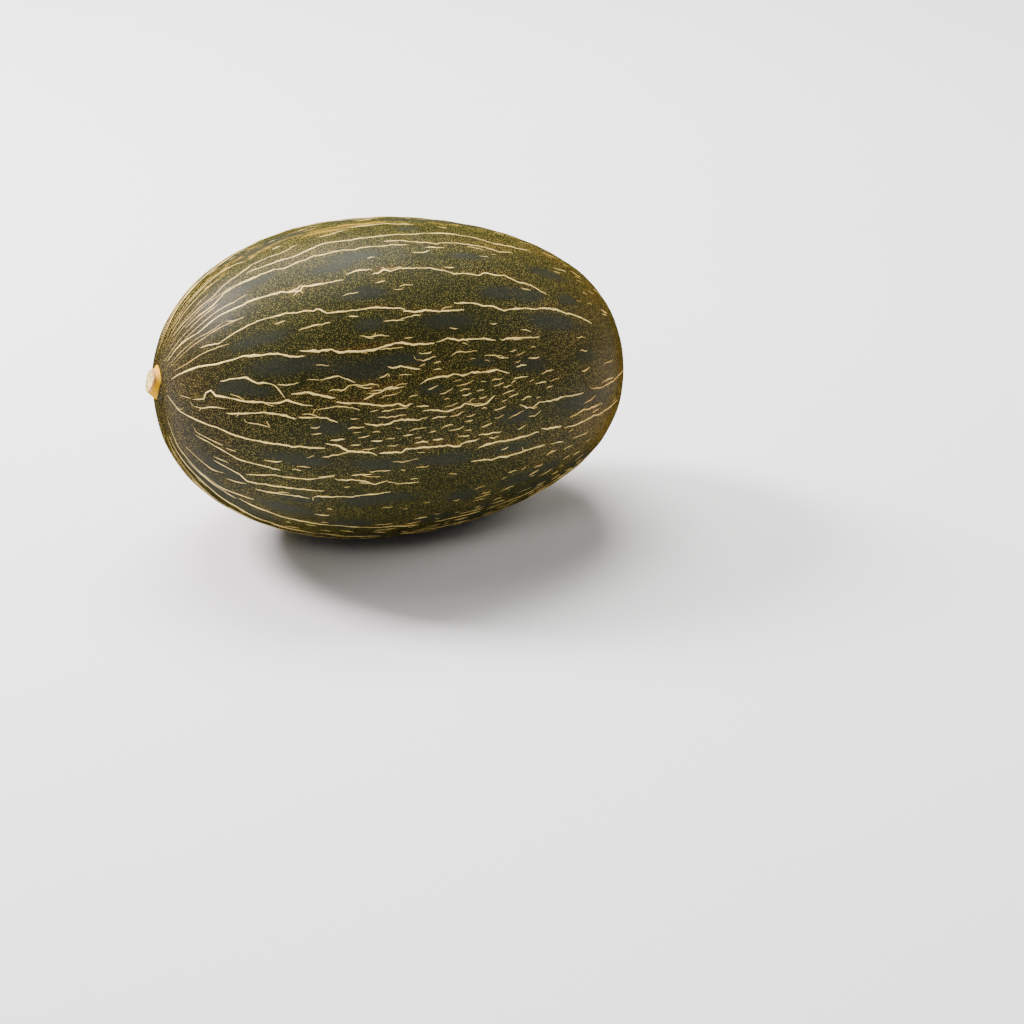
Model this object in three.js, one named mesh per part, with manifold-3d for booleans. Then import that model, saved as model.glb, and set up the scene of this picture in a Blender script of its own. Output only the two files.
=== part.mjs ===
// A whole piel de sapo melon, lying on its side. Millimetres, +Z up.
// The stem end is at -X and carries a short cut stem in a raised collar, the blossom end is at +X,
// and the melon rests on a small flat spot at z = 0, which nature gives it by weight and growth.
import * as THREE from 'three';
import { mergeVertices } from 'three/addons/utils/BufferGeometryUtils.js';
import Module from 'manifold-3d';

const wasm = await Module();
wasm.setup();

// body of the fruit
const halfLength = 126; // along the fruit's own axis, without the stem
const halfWidth = 84.3;
const stemFullness = 0.91; // 1 is an ellipse, less is blunter
const blossomFullness = 0.762;
const stemSwell = 0.058; // how much wider the stem half is than the blossom half
const axisTilt = 4; // degrees, stem end up
const restDepth = 1.6; // how much of the round belly the flat spot takes away

// the stem sits above the fruit's axis, and the skin around it is drawn up to it
const stemLift = 8.6;
const stemLiftReach = 30; // radius around the axis

// cut stem: a flat round scar on a raised collar, leaning upwards
const scarRadius = 5.6;
const collarRadius = 9;
const collarDrop = 1.6; // the collar reaches further down the fruit than up it
const collarHeight = 3.4;
const scarLean = 15; // degrees

// soft folds that run lengthwise and fade towards the middle
const foldDepth = 0.5;
const foldStart = 20; // distance from the middle of the fruit
const foldFull = 90;
const foldClear = 40; // folds die out inside this radius around the stem
const folds = [
  { count: 5, share: 0.5, phase: 0.6 },
  { count: 8, share: 0.3, phase: 2.1 },
  { count: 13, share: 0.2, phase: 4.0 },
];

// blossom end: a shallow dimple
const dimpleRadius = 8;
const dimpleDepth = 0.8;

// fineness of the faceted surface
const facetsAround = 64;
const scarRings = 2;
const collarRings = 4;
const bodyRings = 38;
const ringSpread = 1.15; // above 1, the rings start closer together at the stem end

const skin = { color: '#46452a', roughness: 0.45, metalness: 0 };

function smooth(value) {
  const clamped = THREE.MathUtils.clamp(value, 0, 1);
  return clamped * clamped * (3 - 2 * clamped);
}

// radius of the fruit at an angle from the stem (0) to the blossom end (pi)
function radiusAt(angle) {
  const side = Math.cos(angle);
  const fullness = (stemFullness * (1 + side) + blossomFullness * (1 - side)) / 2;
  return halfWidth * Math.max(Math.sin(angle), 0) ** fullness * (1 + stemSwell * side);
}

// angle from the stem at which the fruit has a small radius, near the stem end
function angleNearStem(radius) {
  return Math.asin((radius / (halfWidth * (1 + stemSwell))) ** (1 / stemFullness));
}

// rings are closer together on the scar and its collar than on the body
function ringAngles() {
  const scarAngle = angleNearStem(scarRadius);
  const collarAngle = angleNearStem(collarRadius + collarDrop);
  const angles = [];
  for (let ring = 0; ring < scarRings; ring += 1) {
    angles.push((scarAngle * ring) / scarRings);
  }
  for (let ring = 0; ring < collarRings; ring += 1) {
    angles.push(scarAngle + ((collarAngle - scarAngle) * ring) / collarRings);
  }
  for (let ring = 0; ring <= bodyRings; ring += 1) {
    const way = (ring / bodyRings) ** ringSpread;
    angles.push(collarAngle + (Math.PI - collarAngle) * way);
  }
  return angles;
}

// half outline of the plain fruit, from the stem to the blossom end, along its axis
function plainProfile() {
  const angles = ringAngles();
  const last = angles.length - 1;
  return angles.map((angle, ring) => {
    const onAxis = ring === 0 || ring === last;
    return new THREE.Vector2(onAxis ? 0 : radiusAt(angle), -halfLength * Math.cos(angle));
  });
}

// moves one point of the plain fruit to its place on the grown one
function growPoint(point) {
  const along = point.x;
  const radius = Math.hypot(point.y, point.z);
  const around = Math.atan2(point.z, point.y);

  let wave = 0;
  for (const fold of folds) {
    wave += fold.share * Math.sin(fold.count * around + fold.phase);
  }
  const foldFade = smooth((-along - foldStart) / (foldFull - foldStart)) * smooth(radius / foldClear);
  const grownRadius = radius + foldDepth * foldFade * wave;

  const height = grownRadius * Math.sin(around);
  const collarFoot = collarRadius - collarDrop * Math.sin(around);
  const onStem = along < 0 ? smooth(1 - (radius - scarRadius) / (collarFoot - scarRadius)) : 0;
  const lift = along < 0 ? stemLift * smooth(1 - radius / stemLiftReach) : 0;
  const lean = Math.tan(THREE.MathUtils.degToRad(scarLean)) * height;
  const dimple = along > 0 ? dimpleDepth * smooth(1 - radius / dimpleRadius) : 0;

  point.x = along + onStem * (lean - collarHeight) - dimple;
  point.y = grownRadius * Math.cos(around);
  point.z = height + lift;
}

function growGeometry() {
  const geometry = new THREE.LatheGeometry(plainProfile(), facetsAround);
  geometry.rotateZ(-Math.PI / 2);
  const positions = geometry.attributes.position;
  const point = new THREE.Vector3();
  for (let index = 0; index < positions.count; index += 1) {
    point.fromBufferAttribute(positions, index);
    growPoint(point);
    positions.setXYZ(index, point.x, point.y, point.z);
  }
  geometry.rotateY(THREE.MathUtils.degToRad(axisTilt));
  return geometry;
}

function toSolid(geometry) {
  const bare = geometry.clone();
  bare.deleteAttribute('normal');
  bare.deleteAttribute('uv');
  const merged = mergeVertices(bare, 1e-4);
  return new wasm.Manifold(
    new wasm.Mesh({
      numProp: 3,
      vertProperties: new Float32Array(merged.attributes.position.array),
      triVerts: new Uint32Array(merged.index.array),
    }),
  );
}

function toGeometry(solid) {
  const mesh = solid.getMesh();
  const geometry = new THREE.BufferGeometry();
  geometry.setAttribute('position', new THREE.BufferAttribute(mesh.vertProperties, 3));
  geometry.setIndex(new THREE.BufferAttribute(mesh.triVerts, 1));
  geometry.computeVertexNormals();
  return geometry;
}

// lays the fruit down centred over the origin and cuts its belly level at z = 0
function restOnFlatSpot(geometry) {
  geometry.computeBoundingBox();
  const box = geometry.boundingBox;
  const middle = box.getCenter(new THREE.Vector3());
  geometry.translate(-middle.x, -middle.y, -box.min.z - restDepth);

  const margin = 10;
  const size = box.getSize(new THREE.Vector3()).addScalar(margin);
  const ground = new THREE.BoxGeometry(size.x, size.y, size.z);
  ground.translate(0, 0, -size.z / 2);
  return toGeometry(toSolid(geometry).subtract(toSolid(ground)));
}

function makeMelon() {
  const melon = new THREE.Mesh(
    restOnFlatSpot(growGeometry()),
    new THREE.MeshStandardMaterial(skin),
  );
  melon.name = 'melon';
  return melon;
}

const object = new THREE.Group();
object.add(makeMelon());

export default object;
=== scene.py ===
import bpy
import math
import numpy as np
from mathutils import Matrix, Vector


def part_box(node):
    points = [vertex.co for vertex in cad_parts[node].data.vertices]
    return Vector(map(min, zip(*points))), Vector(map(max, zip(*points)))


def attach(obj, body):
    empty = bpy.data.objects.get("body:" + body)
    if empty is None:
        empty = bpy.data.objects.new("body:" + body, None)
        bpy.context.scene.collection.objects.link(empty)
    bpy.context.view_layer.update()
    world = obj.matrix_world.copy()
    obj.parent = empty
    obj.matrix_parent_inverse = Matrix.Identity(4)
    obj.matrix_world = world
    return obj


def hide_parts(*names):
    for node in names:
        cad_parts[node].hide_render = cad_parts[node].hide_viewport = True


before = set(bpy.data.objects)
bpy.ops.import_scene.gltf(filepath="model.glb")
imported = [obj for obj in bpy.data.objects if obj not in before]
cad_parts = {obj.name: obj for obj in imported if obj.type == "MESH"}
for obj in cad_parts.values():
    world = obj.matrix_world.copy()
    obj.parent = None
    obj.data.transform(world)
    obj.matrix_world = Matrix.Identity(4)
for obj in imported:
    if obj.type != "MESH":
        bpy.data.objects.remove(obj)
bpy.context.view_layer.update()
melonLow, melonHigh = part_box("melon")
dice = np.random.default_rng(41)

# shape of the fruit, in metres and radians
fruit = dict(
    halfLength=0.126, halfWidth=0.0843,          # along and across the fruit's own axis
    stemFullness=0.91, blossomFullness=0.762,    # 1 is an ellipse, less is blunter
    stemSwell=0.058,                             # the stem half is this much wider
    axisTilt=math.radians(4),                    # stem end up
    stemLift=0.0086, liftReach=0.030,            # the skin is drawn up to the stem
    scarRadius=0.0056, collarRadius=0.009, collarDrop=0.0016, collarHeight=0.0034,
    scarLean=math.radians(15),
    foldDepth=0.0005, foldStart=0.020, foldFull=0.090, foldClear=0.040,
    folds=((5, 0.5, 0.6), (8, 0.3, 2.1), (13, 0.2, 4.0)),    # how many, share of the depth, phase
    dimpleRadius=0.008, dimpleDepth=0.0008,
    waveDepth=0.00022, waveAlong=240, waveAround=9,          # faint unevenness all over
    restSoftness=0.0008,                         # rounds the edge of the flat spot
)


def smoothStep(value):
    # 0 below 0, 1 above 1, v squared times 3 - 2v between
    value = np.clip(value, 0.0, 1.0)
    return value * value * (3.0 - 2.0 * value)


def alongToAngle(along):
    # the angle from the stem whose cosine gives the place along the axis
    return np.arccos(np.clip(-along / fruit["halfLength"], -1.0, 1.0))


def plainRadius(angle):
    # half width times a power of the sine, wider on the stem side
    side = np.cos(angle)
    fullness = (fruit["stemFullness"] * (1 + side) + fruit["blossomFullness"] * (1 - side)) / 2
    sine = np.maximum(np.sin(angle), 0.0)
    return fruit["halfWidth"] * sine ** fullness * (1 + fruit["stemSwell"] * side)


def grownPoint(angle, around):
    # the plain fruit plus lengthwise folds, faint unevenness, the leaning collar of the stem, the
    # lift to the stem and the blossom dimple, then tilted about Y
    along = -fruit["halfLength"] * np.cos(angle)
    radius = plainRadius(angle)
    stemSide = along < 0
    wave = sum(share * np.sin(count * around + phase) for count, share, phase in fruit["folds"])
    foldFade = smoothStep((-along - fruit["foldStart"]) / (fruit["foldFull"] - fruit["foldStart"]))
    uneven = (np.sin(fruit["waveAlong"] * along + 3 * around)
              * np.sin(fruit["waveAround"] * around - 0.6 * fruit["waveAlong"] * along))
    clear = smoothStep(radius / fruit["foldClear"])
    grown = radius + clear * (fruit["foldDepth"] * foldFade * wave + fruit["waveDepth"] * uneven)
    height = grown * np.sin(around)
    collarFoot = fruit["collarRadius"] - fruit["collarDrop"] * np.sin(around)
    onStem = smoothStep(1 - (radius - fruit["scarRadius"]) / (collarFoot - fruit["scarRadius"]))
    lift = stemSide * fruit["stemLift"] * smoothStep(1 - radius / fruit["liftReach"])
    dimple = ~stemSide * fruit["dimpleDepth"] * smoothStep(1 - radius / fruit["dimpleRadius"])
    lean = math.tan(fruit["scarLean"]) * height - fruit["collarHeight"]
    x = along + stemSide * onStem * lean - dimple
    z = height + lift
    tiltCos, tiltSin = math.cos(fruit["axisTilt"]), math.sin(fruit["axisTilt"])
    return np.stack([x * tiltCos + z * tiltSin, grown * np.cos(around), z * tiltCos - x * tiltSin], axis=-1)


def findPlace():
    # the shift that lays the box of the grown fruit on the box of the CAD body
    angle, around = np.meshgrid(np.linspace(0, np.pi, 181), np.linspace(0, 2 * np.pi, 361))
    points = grownPoint(angle, around).reshape(-1, 3)
    low, high = points.min(axis=0), points.max(axis=0)
    middle = (np.array(melonLow) + np.array(melonHigh)) / 2
    shift = middle - (low + high) / 2
    shift[2] = melonHigh[2] - high[2]
    return shift


place = findPlace()


def skinPoint(angle, around):
    # the grown fruit in its place, its belly level with the floor: with s the softness, z is 0
    # below -s, (z + s) squared over 4s up to s, and unchanged above
    points = grownPoint(angle, around) + place
    soft = fruit["restSoftness"]
    z = points[..., 2]
    points[..., 2] = np.where(z < -soft, 0.0, np.where(z > soft, z, (z + soft) ** 2 / (4 * soft)))
    return points


def skinNormal(angle, around):
    # cross product of the surface's two directions, by small steps either way
    step = 1e-4
    angle = np.clip(angle, 0.01, np.pi - 0.01)
    down = skinPoint(angle + step, around) - skinPoint(angle - step, around)
    across = skinPoint(angle, around + step) - skinPoint(angle, around - step)
    normal = np.cross(across, down)
    return normal / np.linalg.norm(normal, axis=-1, keepdims=True)


print("fruit placed at", place.round(4))


def makePiece(name, points, faces, attributes=None, uv=None, smooth=True):
    mesh = bpy.data.meshes.new(name)
    mesh.from_pydata(points.tolist(), [], faces)
    for key, values in (attributes or {}).items():
        layer = mesh.attributes.new(key, "FLOAT", "POINT")
        layer.data.foreach_set("value", np.ascontiguousarray(values, dtype=np.float32))
    if uv is not None:
        layer = mesh.uv_layers.new(name="OFBake")
        layer.data.foreach_set("uv", np.ascontiguousarray(uv, dtype=np.float32).ravel())
    mesh.polygons.foreach_set("use_smooth", [smooth] * len(mesh.polygons))
    mesh.validate()
    piece = bpy.data.objects.new(name, mesh)
    bpy.context.scene.collection.objects.link(piece)
    return piece


# The cork lines that give this melon its net. A line is its width in mm and its points: mm along
# the fruit from its middle, stem end negative, and degrees around it, where 90 is the top,
# 180 the front, 270 underneath and 0 the back.
topLines = [
    (0.5, [(-118, 85), (-110, 84.5), (-101, 83.5), (-92, 84), (-85, 85.5), (-80, 88)]),
    (0.6, [(-43, 91), (-33, 90)]),
    (0.7, [(-25, 87), (-19, 86.5), (-3, 86), (10, 87)]),
    (0.7, [(-119, 96), (-110, 98.5), (-100, 99), (-95, 97), (-87, 95.5), (-78, 93.5), (-62, 94),
           (-54, 92)]),
    (0.8, [(-83, 97), (-76, 98), (-67, 99), (-59, 99.5), (-51, 98), (-46, 96.5), (-35, 96.5), (-23, 97),
           (-13, 96.5), (2, 96), (9, 96), (18, 95), (33, 95), (41, 96), (47, 97.5), (62, 98), (71, 96.5)]),
    (0.7, [(-12, 100), (-5, 100.5), (3, 101.5), (15, 103), (18, 102), (27, 101.5), (43, 102), (50, 104),
           (58, 103)]),
    (0.8, [(-114, 103), (-106, 104.5), (-101, 105), (-95, 101.5), (-84, 102), (-75, 102.5), (-66, 104.5),
           (-54, 103), (-40, 102.5), (-24, 103), (-10, 103), (-1, 103.5)]),
]
upperLines = [
    (1.1, [(-123, 112), (-120, 111), (-110, 115.5), (-100, 114), (-90, 115), (-80, 115), (-70, 116.5),
           (-62, 118), (-60, 116.5), (-50, 117.5), (-40, 117)]),
    (1.0, [(-38, 115.5), (-32, 114.5), (-24, 114.5)]),
    (1.0, [(-25, 117), (-21, 116.5), (-19, 115.5), (-15, 116.5), (-10, 115.5), (6, 115.5), (12, 117),
           (19, 118.5), (24, 118), (32, 119), (35, 117.5), (47, 118), (54, 120.5), (61, 121), (65, 122.5),
           (70, 124.5)]),
    (0.6, [(-66, 119.5), (-62, 117.5), (-61, 120)]),
    (0.5, [(-19, 114), (-15, 117)]),
    (0.6, [(-98, 120), (-95, 121), (-90, 122)]),
    (0.5, [(-105, 122), (-101, 121)]),
    (0.9, [(-111, 127), (-103, 130), (-96, 128), (-89, 126.5), (-74, 126.5), (-66, 127.5), (-55, 128),
           (-52, 130), (-44, 130.5), (-30, 130.5), (-15, 132)]),
    (1.1, [(-14, 133), (-7, 133.5), (-2, 133), (5, 134), (19, 133.5)]),
    (1.1, [(14, 131), (25, 131), (31, 132), (36, 132), (41, 133.5), (50, 133), (69, 131.5), (79, 132.5),
           (89, 133.5), (96, 135.5)]),
    (0.6, [(5, 134), (9, 132), (13, 132)]),
    (0.8, [(-67, 134.5), (-60, 134), (-51, 134)]),
    (0.6, [(-38, 140.5), (-31, 141), (-23, 141.5)]),
    (0.6, [(-25, 136), (-14, 136)]),
]
middleLines = [
    (1.4, [(-123, 141), (-121, 138), (-113, 139), (-106, 141), (-93, 141), (-85, 142), (-79, 142.5),
           (-73, 144.5), (-66, 145.5)]),
    (1.5, [(-68, 143), (-59, 144), (-53, 144), (-49, 145.5), (-37, 146), (-29, 145.5), (-20, 144),
           (-13, 145), (0, 145)]),
    (1.3, [(1, 145), (7, 144), (15, 144.5), (34, 145)]),
    (1.1, [(36, 145), (38, 145.5), (41, 144.5), (60, 144.5)]),
    (0.7, [(8, 149.5), (11, 148.5), (16, 149), (23, 148.5)]),
    (0.8, [(26, 150.5), (36, 151)]),
    (0.9, [(-11, 150.5), (-7, 151), (0, 150)]),
    (1.0, [(-105, 151), (-94, 151), (-91, 153), (-84, 154.5), (-81, 156), (-79, 158), (-77, 161)]),
    (0.9, [(-80, 155.5), (-76, 156), (-70, 155.5)]),
    (0.8, [(-66, 154), (-60, 155.5)]),
    (0.9, [(-60, 154.5), (-51, 154), (-48, 155), (-43, 156.5)]),
    (1.1, [(-26, 152), (-24, 152.5), (-19, 152.5), (-9, 154)]),
    (0.9, [(-56, 158.5), (-50, 159.5), (-46, 158), (-42, 157.5), (-38, 158), (-32, 157.5)]),
    (0.7, [(-31, 155.5), (-26, 154.5)]),
    (1.2, [(-10, 158.5), (-5, 157.5), (2, 157), (8, 156.5), (14, 157), (19, 156), (24, 156.5), (27, 156),
           (33, 156), (36, 157), (40, 157.5)]),
    (0.8, [(42, 159.5), (51, 159.5)]),
    (0.9, [(-35, 160), (-28, 160), (-25, 159.5), (-18, 159.5)]),
    (1.3, [(-116, 161.5), (-112, 161), (-111, 157), (-109, 155.5), (-107, 159), (-101, 160.5), (-94, 162),
           (-81, 163), (-76, 162), (-67, 164), (-64, 164.5)]),
    (0.8, [(-62, 165.5), (-50, 165), (-44, 166), (-41, 166.5)]),
    (1.4, [(-74, 159.5), (-67, 159), (-60, 160.5), (-53, 162)]),
    (1.2, [(-53, 163), (-47, 164), (-41, 164), (-36, 165), (-30, 165.5), (-21, 165), (-19, 166),
           (-14, 165.5)]),
    (0.8, [(-116, 166.5), (-113, 167.5), (-110, 166), (-103, 166)]),
    (0.8, [(-94, 172.5), (-84, 173)]),
    (0.7, [(-121, 158), (-119, 160), (-117, 161)]),
    (1.2, [(-103, 169), (-97, 168), (-83, 167), (-77, 168), (-72, 169.5)]),
    (1.1, [(-71, 169), (-61, 169), (-57, 169), (-52, 170.5)]),
    (1.1, [(-39, 171.5), (-31, 172.5), (-26, 172), (-24, 171), (-19, 170.5), (-12, 171.5), (-6, 170.5)]),
    (1.1, [(-9, 168), (-1, 168.5), (7, 169), (11, 168), (14, 167), (20, 168), (26, 167.5), (31, 165.5)]),
    (1.1, [(45, 170), (49, 171), (53, 171.5), (57, 170.5), (65, 170), (86, 170)]),
    (0.8, [(90, 168.5), (99, 170), (109, 169), (119, 165)]),
]
lowerLines = [
    (1.2, [(-122, 175), (-119, 176), (-113, 177.5), (-107, 178), (-101, 180), (-91, 180.5), (-78, 181),
           (-58, 181)]),
    (1.1, [(-58, 179), (-51, 180), (-46, 182), (-38, 182.5), (-32, 183)]),
    (1.1, [(-31, 182.5), (-20, 183), (-17, 181.5), (-9, 181.5), (7, 182), (13, 182.5)]),
    (1.0, [(12, 181.5), (23, 181)]),
    (0.9, [(22, 179.5), (30, 179), (35, 179)]),
    (0.8, [(-59, 185), (-52, 183.5), (-46, 182)]),
    (0.8, [(-125, 170), (-121, 174)]),
    (1.2, [(22, 184), (32, 183), (41, 183.5), (49, 183), (58, 183)]),
    (1.1, [(59, 182), (72, 183)]),
    (0.9, [(74, 184.5), (86, 185), (96, 185), (105, 186), (114, 186)]),
    (0.9, [(77, 180.5), (86, 179), (95, 179), (100, 179.5)]),
    (1.1, [(19, 189.5), (28, 190), (44, 190.5), (51, 190), (63, 190)]),
    (0.9, [(66, 190.5), (75, 191.5)]),
    (0.9, [(81, 192.5), (92, 193)]),
    (0.9, [(-60, 194), (-52, 192)]),
    (0.9, [(-44, 192), (-33, 191.5)]),
    (0.8, [(-35, 190.5), (-24, 190)]),
    (0.9, [(-52, 194.5), (-43, 194), (-36, 195), (-31, 196), (-25, 194.5)]),
    (0.8, [(-21, 196), (-13, 196), (-8, 196)]),
    (0.9, [(-60, 204), (-51, 203), (-41, 202.5), (-30, 200.5), (-22, 200)]),
    (0.7, [(-116, 184), (-115, 187), (-110, 187.5), (-104, 188.5)]),
    (0.9, [(-115, 190), (-110, 190), (-104, 191.5), (-97, 193.5), (-83, 193), (-78, 193.5)]),
    (0.9, [(-107, 201.5), (-96, 202.5), (-92, 205), (-86, 203.5), (-80, 202.5), (-65, 201), (-56, 200.5)]),
    (0.8, [(-93, 201), (-86, 198.5), (-80, 196.5), (-66, 195.5), (-57, 194), (-52, 193)]),
    (0.8, [(-118, 209), (-108, 209.5), (-102, 207)]),
    (0.8, [(-101, 210), (-98, 209), (-92, 207)]),
    (0.9, [(-88, 208.5), (-76, 206), (-62, 205.5)]),
    (0.9, [(-61, 205), (-58, 203.5), (-50, 203.5)]),
    (0.9, [(-124, 213), (-120, 219.5), (-112, 221), (-101, 220.5), (-94, 218), (-87, 216)]),
]

# the net where it follows no list, and how every line is made
net = dict(
    laneStart=222, laneStop=438, laneStep=10.5, laneWander=1.1,    # long lines of the far sides
    laneFrom=-125, laneTo=112, laneWidths=(0.7, 1.3), pieceLength=(16, 62), gap=(-3, 9),
    threads=((34, 84, 3.6), (89, 132, 6.0), (232, 384, 9.0)),    # fine lines at the stem: from, to, step
    threadFrom=(-125, -120), threadLength=(12, 42), threadWidths=(0.3, 0.52),
    smallWidths=(0.5, 1.0), smallLength=2.5, smallSpread=(1.8, 2.2),
    tickLength=(1.2, 2.6), tickCount=18, tickWidth=0.5, strandCount=90, strandLength=(4, 13),
    strandWidth=(0.45, 0.8), strandFrom=-95,
    boldness=0.48,                               # half the width made, as a share of the width listed
    spacing=0.8,                                 # mm between the sections of a ribbon
    swell=0.30, swellLimits=(0.55, 1.6),         # how much a line's width comes and goes
    taper=5.0,                                   # mm over which a line's end narrows
    rough=0.21, sway=0.26,                       # mm sideways, quick and slow
    rise=0.24,                                   # height over the skin, as a share of half the width
    sunk=0.12,                                   # mm that a ribbon's foot lies under the skin
    dashLimit=112, strandLimits=(-124, 118),     # mm along, past which none is made
    clearance=1.25,                              # mm kept free between a dash and other lines
)

# where short dashes crowd: along and around, spread of both, share, turn upwards as they run
dashZones = [
    (27, 166, 21, 6.5, 1.0, 0.24), (-24, 176, 20, 5, 0.9, 0.04), (-5, 152, 30, 7, 0.2, 0.0),
    (0, 190, 42, 6, 0.25, 0.06), (62, 158, 24, 8, 0.14, 0.2), (-60, 190, 26, 7, 0.3, 0.05),
    (-35, 128, 40, 16, 0.12, -0.02), (35, 118, 35, 14, 0.09, -0.03), (20, 105, 40, 6, 0.15, 0.0),
    (0, 22, 42, 14, 0.8, -0.1), (-20, 335, 40, 12, 0.7, 0.05), (40, 300, 30, 12, 0.6, 0.1),
    (-30, 262, 45, 18, 0.7, 0.0), (50, 230, 30, 14, 0.6, 0.1), (10, 62, 45, 12, 0.45, 0.0),
    (85, 20, 18, 20, 0.2, 0.0), (97, 120, 11, 55, 0.22, 0.1),
]
dashTries = 4000

# a map of the skin that tells where lines lie: one row a mm along, two columns a degree around
skinMap = dict(middle=130, rows=260, columns=720, columnsPerDegree=2)


def degreesPerMm(along):
    # how many degrees around make one millimetre of skin there
    return math.degrees(1) / np.maximum(plainRadius(alongToAngle(along / 1000)) * 1000, 4.0)


def laneLines():
    # long broken lines along the far sides: lanes cut into pieces that drift a little and overlap
    # or leave a gap, as on the near side
    lines = []
    for lane in np.arange(net["laneStart"], net["laneStop"], net["laneStep"]):
        along = net["laneFrom"] + dice.uniform(0, 10) ** 1.2 * 0.6
        shift = dice.normal(0, 1.8)
        while along < net["laneTo"] - 18:
            length = dice.uniform(*net["pieceLength"])
            stop = min(along + length, net["laneTo"])
            count = max(int(length / 8), 3)
            stations = np.linspace(along, stop, count)
            walk = np.cumsum(dice.normal(0, 0.6, count)) * net["laneWander"]
            lines.append((dice.uniform(*net["laneWidths"]), list(zip(stations, lane + shift + walk))))
            shift += walk[-1] * 0.5 + dice.normal(0, 0.9)
            shift *= 0.7
            along = stop + dice.uniform(*net["gap"])
    return lines


def threadLines():
    # fine lines that leave the stem and fade out on the shoulder
    lines = []
    for first, last, step in net["threads"]:
        for lane in np.arange(first, last, step):
            start = dice.uniform(*net["threadFrom"])
            stations = np.linspace(start, start + dice.uniform(*net["threadLength"]), 6)
            walk = np.cumsum(dice.normal(0, 0.55, 6))
            lines.append((dice.uniform(*net["threadWidths"]),
                          list(zip(stations, lane + dice.normal(0, 1.5) + walk))))
    return lines


def spotsOn(points):
    # places along a line, about twelve to each of its segments
    points = np.array(points, dtype=float)
    way = np.linspace(0, len(points) - 1, len(points) * 12)
    along = np.interp(way, np.arange(len(points)), points[:, 0])
    around = np.interp(way, np.arange(len(points)), points[:, 1])
    return along, around


def claim(taken, points):
    # marks the cells within the clearance of a line
    along, around = spotsOn(points)
    reach = degreesPerMm(along) * net["clearance"] * skinMap["columnsPerDegree"]
    for side in np.linspace(-1, 1, 9):
        shifted = around * skinMap["columnsPerDegree"] + side * reach
        column = np.round(shifted).astype(int) % skinMap["columns"]
        for step in (-1, 0, 1):
            row = np.clip(along.astype(int) + skinMap["middle"] + step, 0, skinMap["rows"] - 1)
            taken[row, column] = True


def isFree(taken, points):
    # true where no cell under the line is marked
    along, around = spotsOn(points)
    column = np.round(around * skinMap["columnsPerDegree"]).astype(int) % skinMap["columns"]
    row = np.clip(along.astype(int) + skinMap["middle"], 0, skinMap["rows"] - 1)
    return not taken[row, column].any()


def dashLines(longLines):
    # short lines tried at random places in the crowded zones and kept where they meet no other
    taken = np.zeros((skinMap["rows"], skinMap["columns"]), dtype=bool)
    for width, points in longLines:
        claim(taken, points)
    lines = []
    shares = np.array([zone[4] * zone[2] * zone[3] for zone in dashZones])
    zones = dice.choice(len(dashZones), dashTries, p=shares / shares.sum())
    for index in zones:
        along0, around0, spreadAlong, spreadAround, share, turn = dashZones[index]
        along = dice.normal(along0, spreadAlong)
        around = dice.normal(around0, spreadAround)
        length = net["smallLength"] + dice.gamma(*net["smallSpread"])
        if abs(along) > net["dashLimit"] or dice.uniform() > share:
            continue
        reach = np.array([-0.5, -0.18, 0.15, 0.5]) * length
        rise = reach * (-turn + dice.normal(0, 0.05)) + dice.normal(0, 0.16, 4)
        points = list(zip(along + reach, around + rise * degreesPerMm(along)))
        if isFree(taken, points):
            claim(taken, points)
            lines.append((min(dice.uniform(*net["smallWidths"]), length * 0.16), points))
    return lines


def tickLines(longLines):
    # small side cracks that leave a long line nearly across it
    ticks = []
    for index in dice.integers(0, len(longLines), net["tickCount"]):
        points = longLines[index][1]
        along, around = points[dice.integers(0, len(points))]
        length = dice.uniform(*net["tickLength"]) * dice.choice([-1, 1])
        lean = dice.uniform(0.3, 1.1) * abs(length) * dice.choice([-1, 1])
        degrees = length * degreesPerMm(along)
        ticks.append((net["tickWidth"], [(along, around), (along + lean * 0.6, around + 0.4 * degrees),
                                         (along + lean, around + degrees)]))
    return ticks


def strandLines(longLines):
    # thin strands that split off a long line, run beside it for a while and stop
    strands = []
    for index in dice.integers(0, len(longLines), net["strandCount"]):
        points = np.array(longLines[index][1])
        spot = dice.uniform(0, len(points) - 1)
        along = np.interp(spot, np.arange(len(points)), points[:, 0])
        length = dice.uniform(*net["strandLength"]) * dice.choice([-1, 1])
        if along < net["strandFrom"]:
            continue
        stations = np.clip(along + length * np.array([0.0, 0.3, 0.65, 1.0]), *net["strandLimits"])
        order = np.argsort(points[:, 0])
        follow = np.interp(stations, points[order, 0], points[order, 1])
        apart = np.array([0.0, 0.9, 1.5, 1.7]) * dice.uniform(0.6, 1.4) * dice.choice([-1, 1])
        strands.append((dice.uniform(*net["strandWidth"]),
                        list(zip(stations, follow + apart * degreesPerMm(along)))))
    return strands


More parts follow.
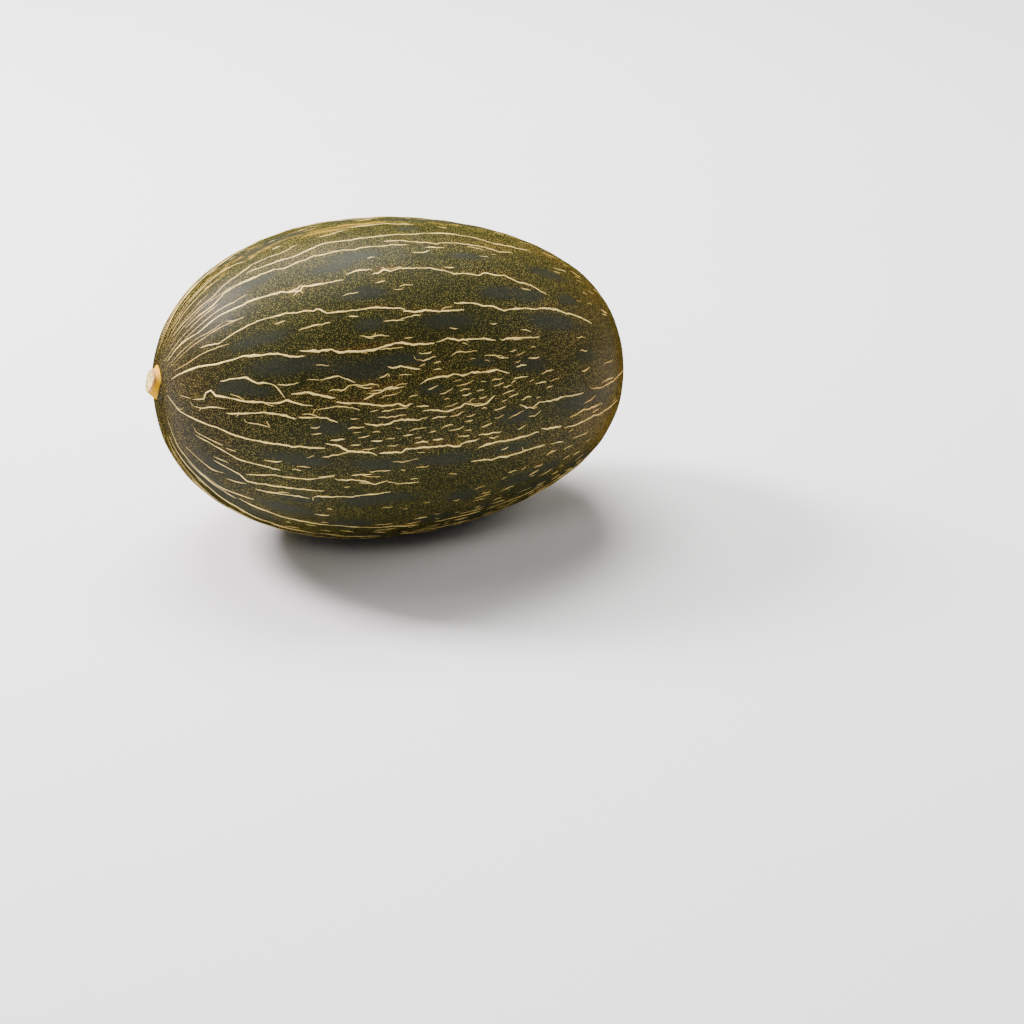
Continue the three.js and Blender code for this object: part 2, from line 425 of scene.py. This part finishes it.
def sampleLine(width, points):
    # a line carried to even steps of skin length; sideways it gets a quick and a slow wander, and
    # its width swells and shrinks and falls off over the last millimetres
    points = np.array(points, dtype=float)
    radius = plainRadius(alongToAngle(points[:, 0] / 1000)) * 1000
    steps = np.hypot(np.diff(points[:, 0]),
                     np.radians(np.diff(points[:, 1])) * (radius[1:] + radius[:-1]) / 2)
    run = np.concatenate([[0], np.cumsum(steps)])
    count = max(int(run[-1] / net["spacing"]) + 1, 5)
    way = np.linspace(0, run[-1], count)
    along = np.interp(way, run, points[:, 0])
    around = np.interp(way, run, points[:, 1])
    quick = np.convolve(dice.normal(0, 1, count + 2), [0.3, 0.5, 0.3], "valid")
    knots = max(count // 5, 2) + 1
    slow = np.interp(way, np.linspace(0, run[-1], knots), dice.normal(0, 1, knots))
    calm = 0.35 + 0.65 * smoothStep((along + 120) / 50)          # lines start straight at the stem
    around = around + (quick * net["rough"] + slow * net["sway"]) * calm * degreesPerMm(along)
    fall = min(net["taper"], run[-1] * 0.45)
    taper = np.sqrt(np.minimum(1, np.minimum(way, run[-1] - way) / fall))
    lumps = np.convolve(dice.normal(0, 1, count + 4), np.ones(5) / 2.6, "valid")
    swell = np.clip(1 + net["swell"] * lumps, *net["swellLimits"])
    thin = 0.55 + 0.45 * smoothStep((along + 124) / 26)
    widths = width * net["boldness"] * (0.14 + 0.86 * taper) * swell * thin
    return along / 1000, np.radians(around), widths / 1000, way / 1000


ribbon = dict(
    across=np.array([-1.05, -0.82, -0.46, 0.0, 0.46, 0.82, 1.05, 0.0]),    # shares of half the width
    up=np.array([0.0, 0.22, 0.75, 1.0, 0.75, 0.22, 0.0, 0.0]),             # shares of the rise
    under=np.array([1.0, 0.0, 0.0, 0.0, 0.0, 0.0, 1.0, 2.4]),              # shares of the sunk foot
    fringe=np.array([1.0, 1.0, 0.25, 0.0, 0.25, 1.0, 1.0, 1.0]),           # 1 on the brown fringe
    sheetFrom=np.array([0.10, 0.20, 0.35, 0.50, 0.65, 0.80, 0.90, 0.0]),   # rows of the flat pattern
    sheetTo=np.array([0.20, 0.35, 0.50, 0.65, 0.80, 0.90, 1.0, 0.10]),
    sheetRow=0.0024, sheetFill=0.94, sheetGap=0.002, sheetSpare=1.12,
)


def ribbonPiece(name, lines):
    # every line is a closed ribbon: a crest of seven points across and one under the skin, carried
    # along the line, square to the skin; side = normal x forward
    sides = len(ribbon["across"])
    sampled = [sampleLine(width, points) for width, points in lines]
    total = sum(one[3][-1] + ribbon["sheetGap"] for one in sampled)
    sheetSide = math.sqrt(total * ribbon["sheetRow"]) * ribbon["sheetSpare"]
    points, faces, uvs, fringes, tones, traces = [], [], [], [], [], []
    offset, used, row = 0, 0.0, 0
    for (lineWidth, _), (along, around, width, way) in zip(lines, sampled):
        angle = alongToAngle(along)
        centre = skinPoint(angle, around)
        normal = skinNormal(angle, around)
        side = np.cross(normal, np.gradient(centre, axis=0))
        side /= np.linalg.norm(side, axis=1, keepdims=True)
        count = len(along)
        uneven = dice.normal(0, 0.07, (count, 1)) * ribbon["up"][None, :]
        across = width[:, None] * (ribbon["across"][None, :] + uneven)
        crest = net["rise"] * (1 + dice.normal(0, 0.18, (count, 1)))
        foot = net["sunk"] / 1000 * ribbon["under"][None, :]
        height = width[:, None] * crest * ribbon["up"][None, :] - foot
        sideways = side[:, None, :] * across[..., None]
        ring = centre[:, None, :] + sideways + normal[:, None, :] * height[..., None]
        ring[..., 2] = np.maximum(ring[..., 2], 0.0)             # nothing under the floor
        points.append(ring.reshape(-1, 3))
        fringes.append(np.tile(ribbon["fringe"], count))
        tones.append(np.full(count * sides, np.clip(1.15 - lineWidth, 0, 0.6) + dice.uniform(0, 0.5)))
        ids = offset + np.arange(count * sides).reshape(count, sides)
        turned = np.roll(ids, -1, axis=1)
        quads = np.stack([ids[:-1], ids[1:], turned[1:], turned[:-1]], axis=-1)
        if used + way[-1] > sheetSide:
            used, row = 0.0, row + 1
        u = (used + way) / sheetSide
        low = (row + ribbon["sheetFrom"] * ribbon["sheetFill"]) * ribbon["sheetRow"] / sheetSide
        high = (row + ribbon["sheetTo"] * ribbon["sheetFill"]) * ribbon["sheetRow"] / sheetSide
        uBack, uFront = np.repeat(u[:-1, None], sides, axis=1), np.repeat(u[1:, None], sides, axis=1)
        vLow, vHigh = np.tile(low, (count - 1, 1)), np.tile(high, (count - 1, 1))
        quadUv = np.stack([uBack, vLow, uFront, vLow, uFront, vHigh, uBack, vHigh], axis=-1)
        faces += quads.reshape(-1, 4).tolist() + [ids[0].tolist(), ids[-1][::-1].tolist()]
        uvs += [quadUv.reshape(-1, 2), np.stack([np.full(sides, u[0]), low], -1),
                np.stack([np.full(sides, u[-1]), low], -1)[::-1]]
        traces.append(np.stack([along, around, width], axis=-1))
        used += way[-1] + ribbon["sheetGap"]
        offset += count * sides
    piece = makePiece(name, np.concatenate(points), faces,
                      dict(fringe=np.concatenate(fringes), tone=np.concatenate(tones)), np.concatenate(uvs))
    print(name, "lines", len(lines), "triangles", sum(len(face) - 2 for face in faces))
    return piece, np.concatenate(traces)


seamLines = topLines + upperLines + middleLines + lowerLines
longLines = seamLines + laneLines() + threadLines()
corkSeams, seamTrace = ribbonPiece("cork_seams", longLines)
corkFlecks, fleckTrace = ribbonPiece("cork_flecks", dashLines(longLines) + tickLines(seamLines)
                                      + strandLines(longLines))

# dark slate patches in the skin: mm along, degrees around, half length and half width in mm
patches = [
    (-39, 153, 19, 6), (-56, 173, 10, 4), (-32, 124.5, 16, 5), (-29, 107, 14, 4), (-32, 136.5, 9, 4),
    (10, 137.5, 16, 5), (4, 91, 9, 3), (42, 126, 13, 4.5), (60, 126.5, 9, 5), (82, 125.5, 7, 4),
    (70, 137.5, 18, 5), (88, 152.5, 7, 4), (43, 174, 12, 4.5), (86, 174, 18, 5), (-100, 155, 8, 4),
    (-4, 161, 8, 3), (24, 153, 8, 3), (-75, 148, 22, 5), (-85, 135, 16, 4), (-14, 150, 14, 4),
    (-88, 158, 8, 3), (-25, 170, 12, 4), (52, 155, 14, 5), (-70, 187, 18, 4), (5, 187, 18, 4),
    (45, 187, 14, 4), (-30, 187.5, 14, 4), (30, 109, 12, 3),
    (-45, 111, 12, 3), (75, 112, 14, 4), (-80, 106, 12, 3),
]
skin = dict(
    around=360, rings=230, haloReach=1.7, haloRows=1.2, haloGain=1.5,
    farPatchFrom=205, farPatchTo=442, farPatchAround=13, farPatchAlong=27,
    collarFoot=0.0082, collarReach=0.0012, collarEdge=0.0008,
    golden=((-72, 83, 36, 10), (-38, 85, 26, 6), (15, 84, 40, 5), (-95, 60, 24, 8)),
    ground=((8, 270, 40, 32),),
)


def farPatches():
    # the same kind of patches in loose rows on the sides that the list leaves out
    made = []
    for lane in np.arange(skin["farPatchFrom"], skin["farPatchTo"], skin["farPatchAround"]):
        for along in np.arange(-96, 100, skin["farPatchAlong"]):
            made.append((along + dice.normal(0, 8), lane + dice.normal(0, 2.5),
                         dice.uniform(8, 20), dice.uniform(3, 5.5)))
    return made


def ovalField(angle, around, ovals):
    # sum of exp(-d * d) over the ovals, d being the distance in half lengths and half widths
    along = -np.cos(angle) * fruit["halfLength"] * 1000
    radius = np.maximum(plainRadius(angle) * 1000, 6)
    total = np.zeros_like(angle)
    for centre, degrees, halfLong, halfWide in ovals:
        turn = (around - math.radians(degrees) + np.pi) % (2 * np.pi) - np.pi
        total += np.exp(-((along - centre) / halfLong) ** 2 - (turn * radius / halfWide) ** 2)
    return np.clip(total, 0, 1)


def nearField(angles, turnCount, trace):
    # how much cork lies near each point of the skin: widths summed in the cells of the grid, then
    # spread by a bell curve around the fruit and along it
    rowEdges = np.concatenate([[-1], (angles[1:] + angles[:-1]) / 2, [4]])
    field = np.histogram2d(alongToAngle(trace[:, 0]), trace[:, 1] % (2 * np.pi), bins=[rowEdges, turnCount],
                           range=[None, [0, 2 * np.pi]], weights=trace[:, 2] * 1000)[0]
    radius = np.maximum(plainRadius(angles) * 1000, 5)
    spectrum = np.fft.rfft(field, axis=1)
    wave = np.arange(spectrum.shape[1])
    spectrum *= np.exp(-0.5 * (wave[None, :] * skin["haloReach"] / radius[:, None]) ** 2)
    spread = np.fft.irfft(spectrum, n=turnCount, axis=1)
    kernel = np.exp(-0.5 * (np.arange(-4, 5) / skin["haloRows"]) ** 2)
    padded = np.pad(spread, ((4, 4), (0, 0)), mode="edge")
    near = sum(kernel[step] * padded[step:step + len(angles)] for step in range(9)) / kernel.sum()
    return np.clip(near * (radius / 84)[:, None] * skin["haloGain"], 0, 1)


def makeSkin():
    # grid of angle from the stem by angle around; the rings crowd towards both ends, and each end
    # closes in one point
    rings, turnCount = skin["rings"], skin["around"]
    share = np.arange(1, rings) / rings
    angles = np.pi * (1 - np.cos(np.pi * share)) / 2
    turns = 2 * np.pi * np.arange(turnCount) / turnCount
    angle, around = np.meshgrid(angles, turns, indexing="ij")
    body = skinPoint(angle, around).reshape(-1, 3)
    points = np.concatenate([body, skinPoint(np.array([0.0, np.pi]), np.zeros(2))])
    ids = np.arange(len(body)).reshape(rings - 1, turnCount)
    nextIds = np.roll(ids, -1, axis=1)
    quads = np.stack([ids[:-1], nextIds[:-1], nextIds[1:], ids[1:]], axis=-1).reshape(-1, 4)
    stemFan = np.stack([np.full(turnCount, len(body)), nextIds[0], ids[0]], axis=-1)
    blossomFan = np.stack([np.full(turnCount, len(body) + 1), ids[-1], nextIds[-1]], axis=-1)
    u = np.arange(turnCount) / turnCount
    uNext = u + 1 / turnCount
    uLow, uHigh = np.tile(u, (rings - 2, 1)), np.tile(uNext, (rings - 2, 1))
    vLow = np.repeat(share[:-1, None], turnCount, axis=1)
    vHigh = np.repeat(share[1:, None], turnCount, axis=1)
    first, last = np.full(turnCount, share[0]), np.full(turnCount, share[-1])
    middle, zero, one = (u + uNext) / 2, np.zeros(turnCount), np.ones(turnCount)
    uv = np.concatenate([
        np.stack([uLow, vLow, uHigh, vLow, uHigh, vHigh, uLow, vHigh], axis=-1).reshape(-1, 2),
        np.stack([middle, zero, uNext, first, u, first], axis=-1).reshape(-1, 2),
        np.stack([middle, one, u, last, uNext, last], axis=-1).reshape(-1, 2)])
    near = nearField(angles, turnCount, np.concatenate([seamTrace, fleckTrace]))
    radius = plainRadius(angle)
    foot = skin["collarFoot"] + skin["collarReach"] * np.sin(around) ** 2
    fields = dict(
        near=near, patch=ovalField(angle, around, patches + farPatches()) * (1 - 0.5 * near),
        collar=(angle < 1) * smoothStep((foot - radius) / skin["collarEdge"]),
        golden=ovalField(angle, around, skin["golden"]), ground=ovalField(angle, around, skin["ground"]),
        upward=np.sin(around) * np.ones_like(angle))
    attributes = {key: np.concatenate([value.ravel(), value[0, :1], value[-1, :1]])
                  for key, value in fields.items()}
    return makePiece("melon_skin", points, quads.tolist() + stemFan.tolist() + blossomFan.tolist(),
                     attributes, uv)


melonSkin = makeSkin()
print("skin ready")

stemScar = dict(radius=0.0064, rings=26, around=84, rim=0.0004, rimPlace=0.0054, rimWidth=0.0006,
                bowl=0.0003, fibre=0.00020, foot=0.0007, depth=0.0012)
blossomScar = dict(radius=0.0052, rings=18, around=64, rim=0.0003, rimPlace=0.0034, rimWidth=0.0008,
                   bowl=0.0002, fibre=0.00012, foot=0.0004, depth=0.0008)


def radiusToAngle(radius, atStem):
    # the angle from the stem at which the plain fruit has this radius, near either end
    table = np.linspace(0, 0.4, 400)
    if atStem:
        return np.interp(radius, plainRadius(table), table)
    return np.pi - np.interp(radius, plainRadius(np.pi - table), table)


def makeScar(name, style, atStem):
    # a disc over the skin, height by radius and turn: a raised uneven rim, a shallow bowl with
    # small fibre ends and an edge that goes under the skin; a second disc below closes it
    radius = style["radius"] * np.arange(1, style["rings"] + 1) / style["rings"]
    turns = 2 * np.pi * np.arange(style["around"]) / style["around"]
    radius, around = np.meshgrid(radius, turns, indexing="ij")
    share = radius / style["radius"]
    ragged = 1 + 0.25 * np.sin(5 * around + 1) + 0.15 * np.sin(11 * around) + 0.10 * np.sin(23 * around + 2)
    rim = style["rim"] * ragged * np.exp(-((radius - style["rimPlace"]) / style["rimWidth"]) ** 2)
    fibres = np.sin(3100 * radius * np.cos(around) + 2) * np.sin(3900 * radius * np.sin(around) + 1)
    bowl = style["bowl"] * share ** 2 + style["fibre"] * fibres * (1 - share ** 4)
    height = bowl + rim - style["foot"] * smoothStep((share - 0.86) / 0.14) + 0.0002
    outline = 1 + 0.03 * np.sin(3 * around) + 0.02 * np.sin(7 * around + 1)
    angle = radiusToAngle(radius * outline, atStem)
    base, normal = skinPoint(angle, around), skinNormal(angle, around)
    tipAngle = np.array([0.0 if atStem else np.pi])
    tip, tipNormal = skinPoint(tipAngle, np.zeros(1)), skinNormal(tipAngle, np.zeros(1))
    points = np.concatenate([(base + normal * height[..., None]).reshape(-1, 3),
                             (base - normal * style["depth"]).reshape(-1, 3),
                             tip + tipNormal * 0.0002, tip - tipNormal * style["depth"]])
    low = radius.size
    ids = np.arange(low).reshape(radius.shape)
    nextIds = np.roll(ids, -1, axis=1)
    quads = np.stack([ids[:-1], nextIds[:-1], nextIds[1:], ids[1:]], axis=-1).reshape(-1, 4)
    wall = np.stack([ids[-1], nextIds[-1], nextIds[-1] + low, ids[-1] + low], axis=-1)
    topFan = np.stack([np.full(style["around"], 2 * low), nextIds[0], ids[0]], axis=-1)
    lowFan = np.stack([np.full(style["around"], 2 * low + 1), ids[0] + low, nextIds[0] + low], axis=-1)
    parts = [quads, quads[:, ::-1] + low, wall, topFan, lowFan]
    if not atStem:
        parts = [part[:, ::-1] for part in parts]
    rimField = np.concatenate([share.ravel(), share.ravel(), [0, 0]])
    return makePiece(name, points, [face for part in parts for face in part.tolist()], dict(rim=rimField))


stemScarPiece = makeScar("stem_scar", stemScar, True)
blossomScarPiece = makeScar("blossom_scar", blossomScar, False)
print("scars ready")


class Signal:
    # one output socket of a node; arithmetic on it adds Math nodes
    def __init__(self, look, socket):
        self.look = look
        self.socket = socket

    def maths(self, operation, first, second):
        return self.look.node("ShaderNodeMath", dict(operation=operation), {0: first, 1: second})

    def __add__(self, other):
        return self.maths("ADD", self, other)

    def __radd__(self, other):
        return self.maths("ADD", other, self)

    def __sub__(self, other):
        return self.maths("SUBTRACT", self, other)

    def __rsub__(self, other):
        return self.maths("SUBTRACT", other, self)

    def __mul__(self, other):
        return self.maths("MULTIPLY", self, other)

    def __rmul__(self, other):
        return self.maths("MULTIPLY", other, self)

    def atMost(self, other):
        return self.maths("MINIMUM", self, other)

    def between(self, low, high):
        # 0 at low, 1 at high and an S curve between
        return self.look.node("ShaderNodeMapRange", dict(interpolation_type="SMOOTHSTEP"),
                              {"Value": self, "From Min": low, "From Max": high})


class Look:
    # a material and the methods that add its nodes
    def __init__(self, name):
        self.material = bpy.data.materials.new(name)
        self.material.use_nodes = True
        self.tree = self.material.node_tree
        self.tree.nodes.clear()
        self.places = self.node("ShaderNodeTexCoord", output="Object")

    def node(self, kind, settings=None, values=None, output=0):
        made = self.tree.nodes.new(kind)
        for key, value in (settings or {}).items():
            setattr(made, key, value)
        for key, value in (values or {}).items():
            if isinstance(value, Signal):
                self.tree.links.new(value.socket, made.inputs[key])
            else:
                made.inputs[key].default_value = value
        return Signal(self, made.outputs[output])

    def attribute(self, name):
        return self.node("ShaderNodeAttribute", dict(attribute_name=name), output="Fac")

    def alongX(self):
        return self.node("ShaderNodeSeparateXYZ", None, {"Vector": self.places}, "X")

    def noise(self, size, detail=2.0, longer=1.0):
        # patches of this size in metres, this much longer along the fruit
        where = self.node("ShaderNodeMapping", None, {"Vector": self.places, "Scale": (1 / longer, 1, 1)})
        return self.node("ShaderNodeTexNoise", None,
                         {"Vector": where, "Scale": 1 / size, "Detail": detail, "Roughness": 0.55})

    def grains(self, size):
        # distance from the middle of the nearest grain, in grain sizes
        return self.node("ShaderNodeTexVoronoi", None, {"Vector": self.places, "Scale": 1 / size}, "Distance")

    def mix(self, factor, first, second):
        # inputs 6 and 7 and output 2 are the colours of a Mix node
        return self.node("ShaderNodeMix", dict(data_type="RGBA"), {0: factor, 6: first, 7: second}, 2)

    def bump(self, height, distance, strength):
        return self.node("ShaderNodeBump", None,
                         {"Height": height, "Distance": distance, "Strength": strength})

    def finish(self, sockets, mattRim=None):
        # mattRim: facing values between which the gloss fades out towards the outline
        shader = self.node("ShaderNodeBsdfPrincipled", None, sockets, "BSDF")
        if mattRim:
            matt = self.node("ShaderNodeBsdfPrincipled", None, {**sockets, "Specular IOR Level": 0.0}, "BSDF")
            rim = self.node("ShaderNodeLayerWeight", None, {"Blend": 0.5}, "Facing").between(*mattRim)
            shader = self.node("ShaderNodeMixShader", None, {0: rim, 1: shader, 2: matt}, "Shader")
        end = self.tree.nodes.new("ShaderNodeOutputMaterial")
        self.tree.links.new(shader.socket, end.inputs["Surface"])
        return self.material


def tint(red, green, blue):
    # a screen colour of 0 to 255 made linear
    share = np.array([red, green, blue]) / 255
    linear = np.where(share <= 0.04045, share / 12.92, ((share + 0.055) / 1.055) ** 2.4)
    return (*[float(value) for value in linear], 1.0)


rind = dict(
    green=tint(38, 39, 18), brown=tint(47, 36, 16), slate=tint(44, 47, 38), greenSpeck=tint(148, 135, 66),
    goldSpeck=tint(170, 136, 64), shoulder=tint(26, 20, 8), golden=tint(168, 134, 54),
    nearCork=tint(84, 58, 20), blossom=tint(104, 78, 24), collarGold=tint(188, 140, 0),
    # a painted sheen: the collar's upper side is made lighter and pinker than its own gold
    collarPaintedSheen=tint(206, 154, 32), ground=tint(150, 132, 62),
    speck=0.00072,                               # metres between the dots of the speckle
    roughness=0.45, specular=0.06, mattRim=(0.40, 0.75),
)


def rindLook():
    look = Look("melon_rind")
    near, patch, golden = look.attribute("near"), look.attribute("patch"), look.attribute("golden")
    collar, ground, upward = look.attribute("collar"), look.attribute("ground"), look.attribute("upward")
    broad = look.noise(0.028, 3, 2.4)
    patchy = look.noise(0.0065, 3, 2.2)
    fine = look.noise(0.0011, 1)
    toBlossom = look.alongX().between(0.020, 0.125)
    toStem = (0 - look.alongX()).between(0.070, 0.122)
    slateMask = (patch * 1.1 + (patchy - 0.5) * 0.7).between(0.15, 0.95)
    specks = look.grains(rind["speck"])
    bigSpecks = look.grains(rind["speck"] * 1.9)
    reach = (0.285 + near * 0.05 + (broad - 0.5) * 0.20 - slateMask * 0.09 + toBlossom * 0.05
             - toStem * 0.03 + golden * 0.05)
    speckMask = (reach - specks).between(-0.03, 0.06)
    bigMask = (reach - 0.10 - bigSpecks).between(-0.04, 0.12)
    warmth = (near * 0.35 + (broad - 0.5) * 1.1 + toBlossom * 0.45 + toStem * 0.25
              + (patchy - 0.5) * 0.5).between(0.0, 1.1)
    plain = look.mix(warmth, rind["green"], rind["brown"])
    shouldered = look.mix(toStem * 0.6, plain, rind["shoulder"])
    slated = look.mix(slateMask * 0.8, shouldered, rind["slate"])
    speckTint = look.mix(warmth, rind["greenSpeck"], rind["goldSpeck"])
    speckled = look.mix((speckMask * 0.75 + bigMask * 0.22).atMost(1.0) * (1 - slateMask * 0.35), slated,
                        speckTint)
    besideCork = look.mix((near + (fine - 0.5) * 0.7).between(0.35, 1.2) * 0.25, speckled, rind["nearCork"])
    blossomed = look.mix((toBlossom + (broad - 0.5) * 0.7 + (fine - 0.5) * 0.4).between(0.55, 1.35) * 0.34,
                         besideCork, rind["blossom"])
    streaks = look.noise(0.0032, 2, 9.0)
    goldMask = (golden * 0.6 + (streaks - 0.5) * 3.0 + (fine - 0.5) * 0.5).between(0.45, 1.15)
    gilded = look.mix(goldMask * golden.between(0.1, 0.5) * 0.6, blossomed, rind["golden"])
    grounded = look.mix((ground + (patchy - 0.5) * 0.6).between(0.15, 1.2) * 0.7, gilded, rind["ground"])
    # the collar's own gold, with its upper side painted lighter and pinker as a painted sheen
    collarGoldAndSheen = look.mix((upward + (patchy - 0.5) * 0.8).between(0.35, 1.05), rind["collarGold"],
                          rind["collarPaintedSheen"])
    colour = look.mix((collar + (patchy - 0.5) * 0.3).between(0.25, 0.75), grounded, collarGoldAndSheen)
    return look.finish({
        "Base Color": colour,
        "Roughness": rind["roughness"] + (fine - 0.5) * 0.14 + speckMask * 0.08,
        "Specular IOR Level": rind["specular"],
        "Normal": look.bump(specks * 0.15 + fine * 0.15 + patchy * 0.7 + streaks * 0.7, 0.00028, 0.6),
    }, rind["mattRim"])


cork = dict(cream=tint(246, 222, 138), tan=tint(228, 186, 92), fringe=tint(104, 74, 26), roughness=0.8)


def corkLook(name, fringeFrom):
    look = Look(name)
    fringe, tone = look.attribute("fringe"), look.attribute("tone")
    fine = look.noise(0.0010, 3)
    slow = look.noise(0.014, 2)
    tanMask = (tone * 0.7 + (slow - 0.5) * 0.8 + look.alongX().between(0.03, 0.12) * 0.5).between(0.3, 1.05)
    core = look.mix(tanMask, cork["cream"], cork["tan"])
    fringeMask = (fringe + (fine - 0.5) * 0.7).between(fringeFrom, fringeFrom + 0.35)
    return look.finish({
        "Base Color": look.mix(fringeMask, core, cork["fringe"]),
        "Roughness": cork["roughness"] + (fine - 0.5) * 0.2, "Specular IOR Level": 0.3,
        "Normal": look.bump(fine, 0.0002, 0.6),
    })


stemWood = dict(middle=tint(224, 204, 132), fibre=tint(146, 134, 58), rim=tint(178, 118, 66))
blossomCork = dict(middle=tint(158, 124, 70), fibre=tint(112, 84, 44), rim=tint(132, 98, 48))


def scarLook(name, style):
    look = Look(name)
    rim = look.attribute("rim")
    fine = look.noise(0.0007, 3)
    coarse = look.noise(0.0022, 2)
    floor = look.mix((coarse + (fine - 0.5) * 0.6).between(0.42, 0.66), style["middle"], style["fibre"])
    return look.finish({
        "Base Color": look.mix((rim + (coarse - 0.5) * 0.4).between(0.72, 0.96), floor, style["rim"]),
        "Roughness": 0.85 + (fine - 0.5) * 0.2, "Specular IOR Level": 0.3,
        "Normal": look.bump(fine + coarse, 0.0004, 0.8),
    })


def dress(piece, material):
    piece.data.materials.append(material)
    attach(piece, "root")


dress(melonSkin, rindLook())
dress(corkSeams, corkLook("cork_of_seams", 0.42))
dress(corkFlecks, corkLook("cork_of_flecks", 0.38))
dress(stemScarPiece, scarLook("stem_wood", stemWood))
dress(blossomScarPiece, scarLook("blossom_cork", blossomCork))
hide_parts("melon")
print("finishes ready")

studio = dict(
    floorHalf=14.0, floorTint=tint(226, 226, 226), floorShade=tint(221, 221, 222), air=0.17,
    aim=(0, 0, 0.085),                           # the lamps look at this place
    skylight=2.2, skylightSpread=math.radians(60), skylightFrom=(-0.25, 0.6, 1.0),
    lamps={                                      # place, size in metres, watts, colour
        "back_left_softbox": ((-1.0, 0.85, 1.15), (0.42, 0.55), 95, (1.0, 0.91, 0.92)),
        "overhead_softbox": ((0.1, 0.75, 1.5), (1.1, 0.6), 56, (1.0, 0.99, 0.96)),
        "front_left_softbox": ((-1.1, -1.3, 1.6), (0.8, 0.8), 12, (1.0, 0.97, 0.92)),
        "right_softbox": ((1.5, -0.3, 1.0), (0.8, 0.8), 10, (1.0, 0.97, 0.92)),
    },
)
view = dict(azimuth=-19.0, elevation=27.0, distance=1.77, lens=117.7, targetRight=0.0647, targetDown=0.0717)


def makeFloor():
    half = studio["floorHalf"]
    corners = np.array([[-half, -half, 0], [half, -half, 0], [half, half, 0], [-half, half, 0]])
    floor = makePiece("studio_floor", corners, [[0, 1, 2, 3]], smooth=False)
    look = Look("pale_floor")
    floor.data.materials.append(look.finish({
        "Base Color": look.mix(look.noise(0.4), studio["floorTint"], studio["floorShade"]),
        "Roughness": 0.9, "Specular IOR Level": 0.1,
    }))


def makeLamp(name, place, size, power, colour):
    # a rectangle of light that faces the place the lamps look at
    data = bpy.data.lights.new(name, "AREA")
    data.shape = "RECTANGLE"
    data.size, data.size_y = size
    data.energy = power
    data.color = colour
    lamp = bpy.data.objects.new(name, data)
    lamp.location = place
    away = np.array(studio["aim"]) - np.array(place)
    lamp.rotation_euler = (math.atan2(away[2], math.hypot(away[0], away[1])) + math.pi / 2, 0,
                           math.atan2(away[1], away[0]) - math.pi / 2)
    bpy.context.scene.collection.objects.link(lamp)


def makeSkylight():
    # an even soft light from high behind, so that the floor stays pale far away
    data = bpy.data.lights.new("skylight", "SUN")
    data.energy = studio["skylight"]
    data.angle = studio["skylightSpread"]
    lamp = bpy.data.objects.new("skylight", data)
    x, y, z = studio["skylightFrom"]
    lamp.rotation_euler = (math.atan2(math.hypot(x, y), z), 0, math.atan2(y, x) + math.pi / 2)
    bpy.context.scene.collection.objects.link(lamp)


def makeAir():
    world = bpy.data.worlds.new("studio_air")
    world.use_nodes = True
    world.node_tree.nodes["Background"].inputs["Color"].default_value = (1, 1, 1, 1)
    world.node_tree.nodes["Background"].inputs["Strength"].default_value = studio["air"]
    bpy.context.scene.world = world


def makeCamera():
    # the camera looks at a point right of and below the fruit's own middle
    turn, rise = math.radians(view["azimuth"]), math.radians(view["elevation"])
    back = np.array([math.sin(turn) * math.cos(rise), -math.cos(turn) * math.cos(rise), math.sin(rise)])
    right = np.array([math.cos(turn), math.sin(turn), 0])
    up = np.cross(back, right)
    target = place + right * view["targetRight"] - up * view["targetDown"]
    data = bpy.data.cameras.new("camera")
    data.lens = view["lens"]
    data.sensor_width = 36
    data.clip_end = 50
    camera = bpy.data.objects.new("camera", data)
    camera.location = target + back * view["distance"]
    camera.rotation_euler = (math.pi / 2 - rise, 0, turn)
    bpy.context.scene.collection.objects.link(camera)
    bpy.context.scene.camera = camera


makeFloor()
makeAir()
makeSkylight()
makeCamera()
for name, (lampPlace, size, power, colour) in studio["lamps"].items():
    makeLamp(name, lampPlace, size, power, colour)
print("studio ready")
